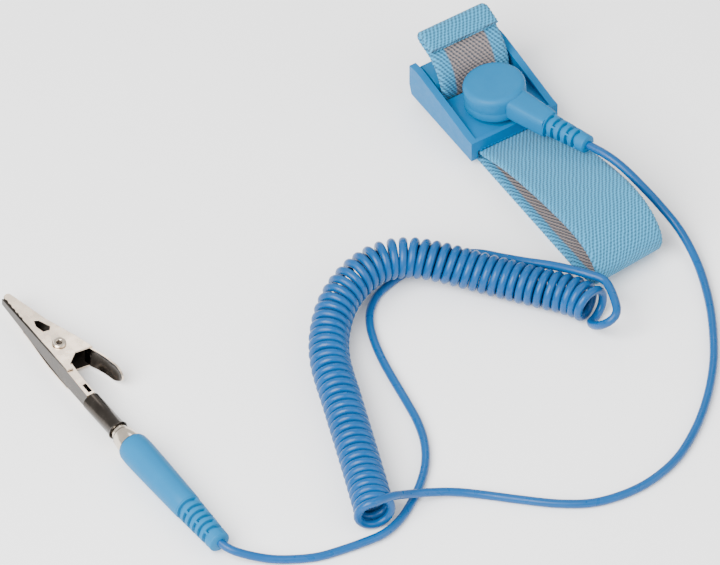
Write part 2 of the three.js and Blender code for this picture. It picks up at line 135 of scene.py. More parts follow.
def moulded_plastic(name, colour, shade, roughness):
    """Injection-moulded plastic: a fine spark-eroded grain that softens the highlight, and a faint
    uneven tone from handling."""
    material, tree, mm = new_material(name)
    tone = add(tree, "ShaderNodeTexNoise", {"Vector": mm, "Scale": 1 / 5.0, "Detail": 3.0})
    grain = add(tree, "ShaderNodeTexNoise", {"Vector": mm, "Scale": 1 / 0.22, "Detail": 2.0})
    scuffs = add(tree, "ShaderNodeTexNoise", {"Vector": mm, "Scale": 1 / 1.6, "Detail": 5.0})
    blend = add(tree, "ShaderNodeMix", {"Factor": tone.outputs["Fac"], "A": linear(shade),
                                        "B": linear(colour)}, data_type="RGBA")
    rough = add(tree, "ShaderNodeMapRange", {"Value": scuffs.outputs["Fac"], "From Min": 0.3, "From Max": 0.7,
                                             "To Min": roughness - 0.05, "To Max": roughness + 0.08})
    bump = add(tree, "ShaderNodeBump", {"Height": grain.outputs["Fac"], "Strength": 0.25,
                                        "Distance": 0.03 * MM})
    finish_material(tree, {"Base Color": blend.outputs["Result"], "Roughness": rough.outputs["Result"],
                           "Specular IOR Level": 0.18,
                           "Normal": bump.outputs["Normal"]})
    return material


def extruded_jacket(name, colour, shade):
    """Extruded cord jacket: smooth and a little glossy, with slow waviness and fine dust."""
    material, tree, mm = new_material(name)
    tone = add(tree, "ShaderNodeTexNoise", {"Vector": mm, "Scale": 1 / 8.0, "Detail": 2.0})
    waviness = add(tree, "ShaderNodeTexNoise", {"Vector": mm, "Scale": 1 / 1.8, "Detail": 0.0})
    blend = add(tree, "ShaderNodeMix", {"Factor": tone.outputs["Fac"], "A": linear(shade),
                                        "B": linear(colour)}, data_type="RGBA")
    rough = add(tree, "ShaderNodeMapRange", {"Value": waviness.outputs["Fac"], "From Min": 0.3,
                                             "From Max": 0.7, "To Min": 0.26, "To Max": 0.4})
    bump = add(tree, "ShaderNodeBump", {"Height": waviness.outputs["Fac"], "Strength": 0.2,
                                        "Distance": 0.02 * MM})
    finish_material(tree, {"Base Color": blend.outputs["Result"], "Roughness": rough.outputs["Result"],
                           "Specular IOR Level": 0.3, "Normal": bump.outputs["Normal"]})
    return material


def plated_metal(name, colour, shade, roughness, along):
    """Plated sheet or turned metal: fine drawing lines along the piece, and cloudy wear that
    changes how sharp the reflections are."""
    material, tree, mm = new_material(name)
    stretched = add(tree, "ShaderNodeVectorMath", {0: mm, 1: along}, operation="MULTIPLY")
    lines = add(tree, "ShaderNodeTexNoise", {"Vector": stretched.outputs["Vector"], "Scale": 1.0,
                                             "Detail": 4.0})
    clouds = add(tree, "ShaderNodeTexNoise", {"Vector": mm, "Scale": 1 / 3.0, "Detail": 4.0})
    blend = add(tree, "ShaderNodeMix", {"Factor": clouds.outputs["Fac"], "A": linear(shade),
                                        "B": linear(colour)}, data_type="RGBA")
    rough = add(tree, "ShaderNodeMapRange", {"Value": clouds.outputs["Fac"], "From Min": 0.35,
                                             "From Max": 0.65, "To Min": roughness * 0.75,
                                             "To Max": roughness * 1.35})
    bump = add(tree, "ShaderNodeBump", {"Height": lines.outputs["Fac"], "Strength": 0.2,
                                        "Distance": 0.02 * MM})
    finish_material(tree, {"Base Color": blend.outputs["Result"], "Metallic": 1.0,
                           "Roughness": rough.outputs["Result"], "Normal": bump.outputs["Normal"]})
    return material


def ribbed_elastic(name, pitch, ridge, low_relief_shade_colour, stripe_ridge=None, stripe_low_relief_shade_colour=None, stripe_half=6.0):
    """Woven elastic: slanting ribs with a stitch rhythm along each one, thick-and-thin yarn and a
    plain selvedge. With stripe colours, the middle is the conductive yarn. The surface's UV map holds
    millimetres along and across the band."""
    material, tree, mm = new_material(name)
    cloth = add(tree, "ShaderNodeUVMap", uv_map="band_mm").outputs["UV"]
    ripple = add(tree, "ShaderNodeTexNoise", {"Vector": cloth, "Scale": 1 / 3.2, "Detail": 2.0})
    drift = add(tree, "ShaderNodeVectorMath", {0: ripple.outputs["Color"], "Scale": 0.5},
                operation="SCALE")
    worked = add(tree, "ShaderNodeVectorMath", {0: cloth, 1: drift.outputs["Vector"]}, operation="ADD")
    turned = add(tree, "ShaderNodeVectorRotate", {"Vector": worked.outputs["Vector"],
                                                  "Angle": math.radians(33)}, rotation_type="Z_AXIS")
    # Across the ribs is Y after the turn, and along them is X.
    ribs = add(tree, "ShaderNodeTexWave", {"Vector": turned.outputs["Vector"],
                                           "Scale": 2 * math.pi / 20 / pitch, "Distortion": 1.3,
                                           "Detail": 2.0, "Detail Scale": 1.5},
               wave_type="BANDS", bands_direction="Y", wave_profile="SIN")
    skew = add(tree, "ShaderNodeVectorRotate", {"Vector": turned.outputs["Vector"],
                                                "Angle": math.radians(62)}, rotation_type="Z_AXIS")
    stitches = add(tree, "ShaderNodeTexWave", {"Vector": skew.outputs["Vector"],
                                               "Scale": 2 * math.pi / 20 / (pitch * 0.8),
                                               "Distortion": 1.0, "Detail": 1.0},
                   wave_type="BANDS", bands_direction="Y", wave_profile="SIN")
    fuzz = add(tree, "ShaderNodeTexNoise", {"Vector": cloth, "Scale": 1 / 0.35, "Detail": 3.0})
    knots = add(tree, "ShaderNodeMath", {0: stitches.outputs["Fac"], 1: 0.55, 2: -0.12},
                operation="MULTIPLY_ADD")
    relief = add(tree, "ShaderNodeMath", {0: ribs.outputs["Fac"], 1: knots.outputs["Value"]},
                 operation="ADD")
    uneven = add(tree, "ShaderNodeMath", {0: fuzz.outputs["Fac"], 1: 0.55, 2: relief.outputs["Value"]},
                 operation="MULTIPLY_ADD")
    level = add(tree, "ShaderNodeMapRange", {"Value": uneven.outputs["Value"], "From Min": 0.35,
                                             "From Max": 1.35, "To Min": 0.0, "To Max": 1.0})
    # Painted shade: the colour darkens towards the low-relief colour in the grooves between ribs and stitches;
    # the thick-and-thin yarn's uneven tone is its own.
    colour = add(tree, "ShaderNodeMix", {"Factor": level.outputs["Result"], "A": linear(low_relief_shade_colour),
                                         "B": linear(ridge)}, data_type="RGBA").outputs["Result"]
    if stripe_ridge:
        across = add(tree, "ShaderNodeSeparateXYZ", {"Vector": worked.outputs["Vector"]})
        wander = add(tree, "ShaderNodeMapRange", {"Value": across.outputs["X"], "From Min": 125.0,
                                                  "From Max": 165.0, "To Min": -2.0, "To Max": 0.25})
        centre = add(tree, "ShaderNodeMath", {0: across.outputs["Y"], 1: wander.outputs["Result"]},
                     operation="SUBTRACT")
        distance = add(tree, "ShaderNodeMath", {0: centre.outputs["Value"]}, operation="ABSOLUTE")
        inside = add(tree, "ShaderNodeMapRange", {"Value": distance.outputs["Value"],
                                                  "From Min": stripe_half - 0.25,
                                                  "From Max": stripe_half + 0.25,
                                                  "To Min": 1.0, "To Max": 0.0})
        # The stripe's grooves get the same painted shade.
        stripe = add(tree, "ShaderNodeMix", {"Factor": level.outputs["Result"],
                                             "A": linear(stripe_low_relief_shade_colour), "B": linear(stripe_ridge)},
                     data_type="RGBA")
        colour = add(tree, "ShaderNodeMix", {"Factor": inside.outputs["Result"], "A": colour,
                                             "B": stripe.outputs["Result"]},
                     data_type="RGBA").outputs["Result"]
    bump = add(tree, "ShaderNodeBump", {"Height": uneven.outputs["Value"], "Strength": 0.8,
                                        "Distance": 0.22 * MM})
    finish_material(tree, {"Base Color": colour, "Roughness": 0.85, "Sheen Weight": 0.08,
                           "Sheen Roughness": 0.5, "Normal": bump.outputs["Normal"]})
    return material


def painted_shade_metal(name):
    """Painted shade for the inside of a pressed channel: dull near-black metal with blotches, standing in for
    the shade that falls there.
    """
    material, tree, mm = new_material(name)
    blotches = add(tree, "ShaderNodeTexNoise", {"Vector": mm, "Scale": 1 / 1.5, "Detail": 4.0})
    tone = add(tree, "ShaderNodeMix", {"Factor": blotches.outputs["Fac"], "A": linear("#120F0D"),
                                       "B": linear("#3A332D")}, data_type="RGBA")
    finish_material(tree, {"Base Color": tone.outputs["Result"], "Metallic": 0.5, "Roughness": 0.5})
    return material


def banded_resistor(name):
    """Lacquered resistor body with rings of code colour along its length."""
    material, tree, mm = new_material(name)
    rings = add(tree, "ShaderNodeTexWave", {"Vector": mm, "Scale": 2 * math.pi / 20 / 1.6},
                wave_type="BANDS", bands_direction="X", wave_profile="SIN")
    hard = add(tree, "ShaderNodeMapRange", {"Value": rings.outputs["Fac"], "From Min": 0.72,
                                            "From Max": 0.78})
    colour = add(tree, "ShaderNodeMix", {"Factor": hard.outputs["Result"], "A": linear("#C9B48A"),
                                         "B": linear("#6A3A22")}, data_type="RGBA")
    finish_material(tree, {"Base Color": colour.outputs["Result"], "Roughness": 0.35})
    return material


def material_called(key):
    """The script's materials are made once, when first asked for."""
    full = {
        "shell": "moulded blue plastic, satin",
        "buckle": "moulded blue plastic, buckle",
        "lever": "moulded blue plastic, lever",
        "cord": "extruded cord jacket, blue",
        "outer": "woven elastic, blue face",
        "inner": "woven elastic, conductive face",
        "nickel": "nickel-plated sheet steel",
        "worn": "nickel-plated steel, painted dark reflection",
        "lining": "inside of the pressed sheet, painted shade",
        "turned": "nickel-plated turned brass",
        "steel": "spring steel, drawn",
        "black": "moulded black plastic",
        "resistor": "lacquered resistor, banded",
    }[key]
    found = bpy.data.materials.get(full)
    if found:
        return found
    pitch = bpy.context.scene.strap.rib_pitch / MM
    makers = {
        "shell": lambda: moulded_plastic(full, "#006A9A", "#006392", 0.46),
        "buckle": lambda: moulded_plastic(full, "#00689C", "#006092", 0.42),
        "lever": lambda: moulded_plastic(full, "#006694", "#005E8A", 0.42),
        "cord": lambda: extruded_jacket(full, "#004E88", "#004478"),
        # The second colour of each elastic is its painted shade for the grooves.
        "outer": lambda: ribbed_elastic(full, pitch, "#2E93C0", "#1C5873"),
        "inner": lambda: ribbed_elastic(full, pitch, "#2E93C0", "#1C5270", "#857874", "#333A44"),
        "nickel": lambda: plated_metal(full, "#F2E0CC", "#DBC8B2", 0.26, (0.15, 4.0, 4.0)),
        # Painted dark reflection: nickel made near black, standing in for the dark surround mirrored in faces
        # turned towards the camera.
        "worn": lambda: plated_metal(full, "#57514B", "#2E2A27", 0.22, (0.15, 4.0, 4.0)),
        # Painted shade: near-black dull metal for the insides, holes and cut edges that lie in shade.
        "lining": lambda: painted_shade_metal(full),
        "turned": lambda: plated_metal(full, "#E9DCCB", "#CDBFAE", 0.2, (5.0, 0.4, 0.4)),
        "steel": lambda: plated_metal(full, "#D8D8D6", "#B9B9B8", 0.26, (3.0, 3.0, 0.3)),
        "black": lambda: moulded_plastic(full, "#2E2E30", "#242426", 0.45),
        "resistor": lambda: banded_resistor(full),
    }
    return makers[key]()


# ---------- mesh helpers ----------
def make_object(name, vertices, faces, materials, place, smooth=True):
    """A mesh from millimetre vertices, put in the row frame by the place matrix."""
    mesh = bpy.data.meshes.new(name)
    mesh.from_pydata([place @ Vector(v) for v in vertices], [], faces)
    for key in materials:
        mesh.materials.append(material_called(key))
    worked = bmesh.new()
    worked.from_mesh(mesh)
    bmesh.ops.remove_doubles(worked, verts=worked.verts, dist=1e-7)
    bmesh.ops.recalc_face_normals(worked, faces=worked.faces)
    worked.to_mesh(mesh)
    worked.free()
    mesh.shade_smooth() if smooth else mesh.shade_flat()
    obj = bpy.data.objects.new(name, mesh)
    bpy.context.scene.collection.objects.link(obj)
    return obj


def prism(outline, low, high, axis="Z"):
    """An outline drawn out between two levels. Axis Z takes it as X, Y, and axis Y as X, Z."""
    count = len(outline)
    flat = [(a, b, low) for a, b in outline] + [(a, b, high) for a, b in outline]
    vertices = flat if axis == "Z" else [(a, level, b) for a, b, level in flat]
    faces = [tuple(range(count)), tuple(range(2 * count - 1, count - 1, -1))]
    faces += [(i, (i + 1) % count, count + (i + 1) % count, count + i) for i in range(count)]
    return vertices, faces


def box(x0, x1, y0, y1, z0, z1):
    return prism([(x0, y0), (x1, y0), (x1, y1), (x0, y1)], z0, z1)


def ring_faces(count, sides, ends=False):
    """The faces between rings of vertices that follow each other. Ends closes the first and the last."""
    faces = []
    for i in range(count - 1):
        for j in range(sides):
            k = (j + 1) % sides
            faces.append((i * sides + j, i * sides + k, (i + 1) * sides + k, (i + 1) * sides + j))
    if ends:
        faces.append(tuple(range(sides)))
        faces.append(tuple((count - 1) * sides + j for j in reversed(range(sides))))
    return faces


def turned(profile, sides=64, along="X"):
    """A profile of (radius, height) turned about Z, or about X."""
    vertices = []
    for radius, height in profile:
        for j in range(sides):
            angle = 2 * math.pi * j / sides
            a, b = radius * math.cos(angle), radius * math.sin(angle)
            vertices.append((height, a, b) if along == "X" else (a, b, height))
    return vertices, ring_faces(len(profile), sides)


def capped(profile):
    """Closes a turned profile on its axis at both ends."""
    return [(0.001, profile[0][1])] + profile + [(0.001, profile[-1][1])]


def joined(*shapes):
    vertices, faces = [], []
    for some_vertices, some_faces in shapes:
        start = len(vertices)
        vertices += some_vertices
        faces += [tuple(start + i for i in face) for face in some_faces]
    return vertices, faces


def bake_modifiers(obj):
    evaluated = obj.evaluated_get(bpy.context.evaluated_depsgraph_get())
    mesh = bpy.data.meshes.new_from_object(evaluated)
    obj.modifiers.clear()
    obj.data = mesh
    return obj


def combine(obj, shape, operation, place, lining=()):
    """Joins, cuts or keeps the common part of an object and a closed shape. The faces of a cut can take
    painted shade.
    """
    other = make_object("tool", *shape, lining, place)
    modifier = obj.modifiers.new("combine", "BOOLEAN")
    modifier.object = other
    modifier.operation = operation
    modifier.solver = "EXACT"
    modifier.material_mode = "TRANSFER" if lining else "INDEX"
    bake_modifiers(obj)
    bpy.data.objects.remove(other)
    return obj


def soften(obj, width, segments=3, angle=28):
    """Rounds the edges that are sharper than the angle, and shades the rest smooth."""
    modifier = obj.modifiers.new("round edges", "BEVEL")
    modifier.width = width * MM
    modifier.segments = segments
    modifier.limit_method = "ANGLE"
    modifier.angle_limit = math.radians(angle)
    modifier.harden_normals = True
    bake_modifiers(obj)
    obj.data.shade_smooth()
    obj.data.set_sharp_from_angle(angle=math.radians(50))
    level = obj.modifiers.new("flat faces stay flat", "WEIGHTED_NORMAL")
    level.keep_sharp = True
    return bake_modifiers(obj)


def spline(points, per_span):
    """A centripetal Catmull-Rom line through the points, as vectors."""
    points = [Vector(p) for p in points]
    points = [2 * points[0] - points[1]] + points + [2 * points[-1] - points[-2]]
    line = []
    for i in range(1, len(points) - 2):
        p0, p1, p2, p3 = points[i - 1:i + 3]
        t0 = 0.0
        t1 = t0 + max((p1 - p0).length, 1e-6) ** 0.5
        t2 = t1 + max((p2 - p1).length, 1e-6) ** 0.5
        t3 = t2 + max((p3 - p2).length, 1e-6) ** 0.5
        for k in range(per_span):
            t = t1 + (t2 - t1) * k / per_span
            a1 = p0 * ((t1 - t) / (t1 - t0)) + p1 * ((t - t0) / (t1 - t0))
            a2 = p1 * ((t2 - t) / (t2 - t1)) + p2 * ((t - t1) / (t2 - t1))
            a3 = p2 * ((t3 - t) / (t3 - t2)) + p3 * ((t - t2) / (t3 - t2))
            b1 = a1 * ((t2 - t) / (t2 - t0)) + a2 * ((t - t0) / (t2 - t0))
            b2 = a2 * ((t3 - t) / (t3 - t1)) + a3 * ((t - t1) / (t3 - t1))
            line.append(b1 * ((t2 - t) / (t2 - t1)) + b2 * ((t - t1) / (t2 - t1)))
    line.append(points[-2])
    return line


def even(line, step):
    """The same line with points at equal distances."""
    lengths = [0.0]
    for a, b in zip(line, line[1:]):
        lengths.append(lengths[-1] + (b - a).length)
    count = max(2, round(lengths[-1] / step))
    result, i = [], 0
    for k in range(count + 1):
        target = lengths[-1] * k / count
        while i < len(line) - 2 and lengths[i + 1] < target:
            i += 1
        part = (target - lengths[i]) / max(lengths[i + 1] - lengths[i], 1e-9)
        result.append(line[i].lerp(line[i + 1], min(max(part, 0.0), 1.0)))
    return result


def tube(line, radius, sides):
    """A round tube whose rings follow the line without twisting. Both ends are closed."""
    vertices = []
    tangent = (line[1] - line[0]).normalized()
    side = tangent.orthogonal().normalized()
    for i, centre in enumerate(line):
        ahead = line[min(i + 1, len(line) - 1)] - line[max(i - 1, 0)]
        tangent = ahead.normalized()
        side = (side - tangent * side.dot(tangent)).normalized()
        up = tangent.cross(side)
        for j in range(sides):
            angle = 2 * math.pi * j / sides
            vertices.append(centre + (side * math.cos(angle) + up * math.sin(angle)) * radius)
    return vertices, ring_faces(len(line), sides, ends=True)


def sleeve(start, end, radius_start, radius_end, rings, depth, sides=72):
    """A strain relief: rings joined by ribs, with the slots between them on alternate sides."""
    steps = rings * 12
    pitch = (end - start - 2.2) / rings
    profile_x = [start + (end - start) * i / steps for i in range(steps + 1)]
    vertices = []
    for x in profile_x:
        share = (x - start) / (end - start)
        radius = radius_start + (radius_end - radius_start) * share
        local = (x - start - 0.5) / pitch
        ring = math.floor(local)
        phase = local - ring
        in_slot = 0 <= ring < rings and 0.14 < phase < 0.56
        edge = min(x - start, end - x)
        rounding = 0.35 - math.sqrt(max(0.0, 0.35 ** 2 - (0.35 - edge) ** 2)) if edge < 0.35 else 0.0
        for j in range(sides):
            angle = 2 * math.pi * j / sides
            turn = 0.0 if ring % 2 == 0 else math.pi / 2
            slotted = in_slot and abs(math.cos(angle + turn + math.pi / 4)) > 0.16
            r = radius - rounding - (depth if slotted else 0.0)
            vertices.append((x, r * math.cos(angle), r * math.sin(angle)))
    return vertices, ring_faces(steps + 1, sides, ends=True)


def paint(obj, choose, place=PLUG):
    """Gives single faces another material, picked from their middle and normal in the place's frame."""
    back = place.inverted()
    turn = place.to_3x3().inverted() * MM
    for polygon in obj.data.polygons:
        key = choose(back @ polygon.center, turn @ polygon.normal)
        if key:
            material = material_called(key)
            if material.name not in obj.data.materials:
                obj.data.materials.append(material)
            polygon.material_index = obj.data.materials.find(material.name)


def lift(shape, z):
    vertices, faces = shape
    return [(x, y, height + z) for x, y, height in vertices], faces


def dress(node, key):
    """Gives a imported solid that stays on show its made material."""
    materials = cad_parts[node].data.materials
    if materials:
        materials[0] = material_called(key)
    else:
        materials.append(material_called(key))


# ---------- stage ----------
CAMERA_AZIMUTH, CAMERA_ELEVATION = math.radians(57.2), math.radians(47.0)
CAMERA_DISTANCE = 6.0
SENSOR_WIDTH = 36.0
SEEN_WIDTH = 0.180                   # metres across the picture, at the object


class STRAP_OT_stage(bpy.types.Operator):
    """Sets up the camera, the floor and the soft light"""
    bl_idname = "strap.stage"
    bl_label = "Stage"

    def execute(self, context):
        scene = context.scene
        target = ROW @ Vector((5.8, -57.8, 0.0))
        level = math.cos(CAMERA_ELEVATION)
        away = Vector((math.sin(CAMERA_AZIMUTH) * level, -math.cos(CAMERA_AZIMUTH) * level,
                       math.sin(CAMERA_ELEVATION)))
        camera = bpy.data.cameras.new("camera")
        camera.sensor_width = SENSOR_WIDTH
        camera.lens = SENSOR_WIDTH * CAMERA_DISTANCE / SEEN_WIDTH
        camera.clip_end = 20.0
        eye = bpy.data.objects.new("camera", camera)
        eye.location = target + away * CAMERA_DISTANCE
        eye.rotation_euler = away.to_track_quat("Z", "Y").to_euler()
        scene.collection.objects.link(eye)
        scene.camera = eye

        floor = make_object("floor", *prism([(-3000, -3000), (3000, -3000), (3000, 3000), (-3000, 3000)],
                                            -20.0, -0.04), [], ROW)
        pale, tree, mm = new_material("pale studio floor")
        speck = add(tree, "ShaderNodeTexNoise", {"Vector": mm, "Scale": 1 / 60.0, "Detail": 2.0})
        shade = add(tree, "ShaderNodeMix", {"Factor": speck.outputs["Fac"], "A": linear("#FBFBFB"),
                                            "B": linear("#FFFFFF")}, data_type="RGBA")
        finish_material(tree, {"Base Color": shade.outputs["Result"], "Roughness": 0.7})
        floor.data.materials.append(pale)

        lamps = [("key", (0.2, -0.8, 0.8), 0.9, 1.0), ("side", (0.95, 0.55, 0.7), 1.2, 0.3),
                 ("glint", (-0.9, 0.5, 1.15), 0.5, 0.08)]
        for name, position, size, share in lamps:
            light = bpy.data.lights.new(name, "AREA")
            light.shape = "SQUARE"
            light.size = size
            light.energy = scene.strap.light_power * share
            lamp = bpy.data.objects.new(name, light)
            lamp.location = position
            lamp.rotation_euler = (Vector(position) - target).to_track_quat("Z", "Y").to_euler()
            scene.collection.objects.link(lamp)

        world = bpy.data.worlds.new("studio")
        world.use_nodes = True
        world.node_tree.nodes["Background"].inputs["Color"].default_value = (1.0, 1.0, 1.0, 1.0)
        world.node_tree.nodes["Background"].inputs["Strength"].default_value = 0.95
        scene.world = world
        return {"FINISHED"}


# ---------- cord ----------
# From the snap cap, over the edge of the band, round to the side of the coil's near end.
SNAP_LEAD = [
    (7.9, 8.2, 14.45), (11.0, 9.2, 14.75), (14.8, 10.5, 14.7), (18.9, 12.0, 13.6), (24.1, 13.9, 10.9),
    (30.2, 16.0, 7.2), (37.1, 17.2, 4.0), (47.0, 15.9, 1.8), (58.9, 11.6, 1.15), (69.5, 6.0, 1.15),
    (78.2, 0.2, 1.15), (87.4, -8.0, 1.15), (94.5, -16.4, 1.15), (99.8, -25.3, 1.15), (102.4, -35.0, 1.15),
    (102.4, -42.9, 1.15), (100.6, -50.5, 1.15), (96.4, -57.5, 1.15), (90.2, -64.7, 1.15),
    (83.6, -71.8, 1.15), (79.6, -77.3, 1.7), (77.4, -82.7, 2.8), (76.4, -87.5, 4.2), (76.6, -91.3, 6.2),
    (77.3, -94.6, 8.2),
]
# The middle line of the coil, lifted where the clip's lead passes under it.
COIL_LINE = [
    (78.7, -100.1, 5.8), (67.5, -95.7, 5.25), (54.3, -90.8, 5.25), (41.2, -86.0, 5.25), (28.4, -81.2, 5.25),
    (20.4, -76.2, 5.4), (13.8, -69.4, 6.4), (9.9, -61.4, 7.5), (9.0, -53.6, 7.9), (11.0, -47.4, 7.8),
    (16.0, -41.2, 7.2), (22.0, -35.2, 6.0), (28.6, -29.4, 5.3), (35.6, -23.8, 5.25), (43.8, -17.6, 5.25),
    (49.8, -15.3, 5.25),
]
# From the coil's far end, down behind it, under it, across the table and round to the plug.
CLIP_LEAD = [
    (45.8, -11.0, 9.6), (42.1, -13.4, 9.9), (37.4, -16.0, 9.1), (32.2, -18.8, 7.6), (27.0, -22.1, 6.0),
    (21.3, -25.3, 4.2), (15.0, -29.0, 2.3), (11.2, -34.4, 1.2), (9.8, -42.0, 1.15), (10.6, -50.6, 1.15),
    (12.8, -57.2, 1.15), (16.2, -61.4, 1.15), (20.4, -64.2, 1.15), (25.4, -66.2, 1.15), (32.0, -68.0, 1.15),
    (39.6, -69.4, 1.15), (47.0, -70.6, 1.15), (54.2, -72.0, 1.15), (60.9, -74.3, 1.15), (66.8, -77.8, 1.15),
    (71.9, -82.5, 1.15), (76.2, -88.0, 1.15), (79.6, -93.6, 1.15), (81.6, -99.8, 1.5),
    (81.2, -105.8, 1.4), (80.2, -111.8, 1.15), (79.0, -117.4, 1.15), (76.7, -122.4, 1.15),
    (73.9, -127.2, 1.4), (70.6, -132.0, 2.6), (67.2, -135.6, 3.9), (63.4, -136.68, 4.2), (60.5, -136.74, 4.2),
]
COIL_START_TURN = 100                # degrees round the coil where the snap's lead joins it
POINTS_PER_TURN = 24
LAST_BEND = 0.9926                   # share of the coil where its last half turn swings outwards


def coil_points(turns, radius):
    """The coil: round its middle line by a loop over the turns, looser in the bend and at its end."""
    axis = even(spline(COIL_LINE, 12), 0.25)
    count = len(axis)
    weights = []
    for i in range(count):
        share = i / (count - 1)
        pitch = 1.0 + 0.08 * math.exp(-((share - 0.5) / 0.16) ** 2)
        pitch -= 0.04 * math.exp(-((share - 0.8) / 0.1) ** 2)
        pitch += 0.25 * max(0.0, (share - 0.955) / 0.045) + 0.3 * max(0.0, (0.02 - share) / 0.02)
        weights.append(1 / pitch)
    total = sum(weights)
    swept = [0.0]
    for w in weights[:-1]:
        swept.append(swept[-1] + w / total)
    random.seed(7)
    uneven = [random.uniform(-0.14, 0.14) for _ in range(turns + 2)]
    steps = turns * POINTS_PER_TURN
    whole = 360.0 * turns + 90 - COIL_START_TURN
    points, i = [], 0
    for k in range(steps + 1):
        share = k / steps
        while i < count - 2 and swept[i + 1] < share:
            i += 1
        part = min(max((share - swept[i]) / max(swept[i + 1] - swept[i], 1e-9), 0.0), 1.0)
        centre = axis[i].lerp(axis[i + 1], part)
        tangent = (axis[min(i + 4, count - 1)] - axis[max(i - 3, 0)]).normalized()
        side = tangent.cross(Vector((0, 0, 1))).normalized()
        up = side.cross(tangent)
        angle = math.radians(COIL_START_TURN + whole * share)
        turn = share * turns
        wobble = uneven[int(turn)] * (1 - turn % 1) + uneven[int(turn) + 1] * (turn % 1)
        wide = radius + 0.12 * wobble + 0.45 * max(0.0, (0.02 - share) / 0.02)
        bulge = 6.6 * math.sin(0.68 * math.pi * max(0.0, (share - LAST_BEND) / (1 - LAST_BEND)) ** 1.3)
        points.append(centre + side * (wide * math.cos(angle)) + up * (wide * math.sin(angle))
                      + tangent * (wobble * 0.5 + bulge))
    return points


class STRAP_OT_cord(bpy.types.Operator):
    """Lays out the cord: the snap's lead, the curly stretch and the clip's lead, in one length"""
    bl_idname = "strap.cord"
    bl_label = "Cord"

    def execute(self, context):
        settings = context.scene.strap
        coil = coil_points(settings.coil_turns, settings.coil_radius / MM)
        before = even(spline(SNAP_LEAD + [tuple(coil[0]), tuple(coil[1])], 10)[:-10], 1.2)
        last = coil[-1]
        after = even(spline([tuple(coil[-2]), tuple(last)] + CLIP_LEAD, 10)[10:], 1.2)
        line = before[:-1] + coil + after[1:]
        radius = settings.cord_diameter / MM / 2
        cord = make_object("cord", *tube(line, radius, 14), ["cord"], ROW)
        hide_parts("cord_snap_lead", "cord_coil", "cord_clip_lead")
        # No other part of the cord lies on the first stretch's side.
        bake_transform(cord)
        path = [ROW @ p for p in line]
        context.scene["cord_path"] = [list(p) for p in path]
        return {"FINISHED"}


# ---------- wristband ----------
# The middle of the band's thickness: from the riveted end under the deck, round the loop, back
# under the buckle, round its floor, under the lever, up through the slot and over to the hem.
BAND_LINE = [
    (-27.6, 3.6), (-24, 3.6), (-18, 3.6), (-12.6, 3.75), (-8.4, 5.1), (-3.3, 7.1), (4, 9.1),
    (12.5, 11.0), (20, 12.4), (27, 13.1), (33, 12.6), (37.4, 10.7), (39.9, 7.8), (40.0, 4.9),
    (37.9, 2.3), (34, 1.05), (28, 0.82), (14, 0.8), (-6, 0.8), (-26, 0.8), (-37.6, 0.8), (-39.8, 1.3),
    (-40.5, 2.6), (-39.8, 3.9), (-37.6, 4.4), (-34.6, 4.4), (-32.2, 4.7), (-30.7, 5.9), (-30.4, 7.8),
    (-30.5, 9.8), (-31.3, 12.4), (-32.9, 15.1), (-35.1, 17.1), (-38, 18.3), (-40.7, 19.1),
    (-41.7, 20.2), (-40.4, 21.0), (-38, 20.4), (-35.4, 19.6),
]
TAIL_START = 168                     # millimetres along the band, where the slightly narrower tail begins


class STRAP_OT_band(bpy.types.Operator):
    """Weaves the wristband along its route through the buckle"""
    bl_idname = "strap.band"
    bl_label = "Wristband"

    def execute(self, context):
        settings = context.scene.strap
        half_thickness = settings.band_thickness / MM / 2
        half_width = settings.band_width / MM / 2
        line = even(spline([(x, 0.0, z) for x, z in BAND_LINE], 12), 0.45)
        across = 26
        vertices, uvs = [], []
        length = 0.0
        for i, centre in enumerate(line):
            if i:
                length += (centre - line[i - 1]).length
            tangent = (line[min(i + 1, len(line) - 1)] - line[max(i - 1, 0)]).normalized()
            normal = Vector((-tangent.z, 0.0, tangent.x))
            in_loop = math.exp(-((centre.x - 41) / 13) ** 2)
            lifted = math.exp(-((centre.x - 25) / 14) ** 2) if centre.z > 6 else 0.0
            tail = 1.0 if length > TAIL_START else 0.0
            wide = half_width - 0.35 * tail
            for face_side in (1, -1):
                for j in range(across + 1):
                    y = -wide + 2 * wide * j / across
                    y *= face_side
                    edge = min(1.0, (wide - abs(y)) / 0.7)
                    thick = half_thickness * (0.28 + 0.72 * math.sqrt(max(0.0, 1 - (1 - edge) ** 2)))
                    point = centre + normal * (face_side * thick) + Vector((0, y, 0))
                    point.x -= 0.9 * (y / half_width) * in_loop
                    point.z += 0.7 * (y / half_width) * lifted
                    frill = 0.1 * math.sin(length * 2 * math.pi / 1.1) if abs(y) > wide - 0.2 else 0.0
                    point.y += frill * (1 if y > 0 else -1)
                    vertices.append(point)
                    uvs.append((length, y))
        ring_size = 2 * (across + 1)
        faces = ring_faces(len(line), ring_size, ends=True)
        kinds = [0 if j <= across else 1 for j in range(ring_size)] * (len(line) - 1) + [0, 0]
        mesh = bpy.data.meshes.new("band")
        mesh.from_pydata([ROW @ v for v in vertices], [], faces)
        mesh.materials.append(material_called("outer"))
        mesh.materials.append(material_called("inner"))
        layer = mesh.uv_layers.new(name="band_mm")
        for loop in mesh.loops:
            layer.data[loop.index].uv = uvs[loop.vertex_index]
        for polygon, kind in zip(mesh.polygons, kinds):
            polygon.material_index = kind
        mesh.shade_smooth()
        band = bpy.data.objects.new("band", mesh)
        context.scene.collection.objects.link(band)
        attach(band, "band_and_buckle")
        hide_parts("wristband")
        return {"FINISHED"}


# ---------- buckle ----------
CHEEK = [
    (-40.0, 2.2), (-12.2, 2.2), (-12.2, 8.4), (-14.5, 8.5), (-36.0, 12.0), (-38, 12.1), (-41.0, 11.7),
    (-41.0, 5.2),
]
LEVER_PIVOT = (-34.4, 8.4)


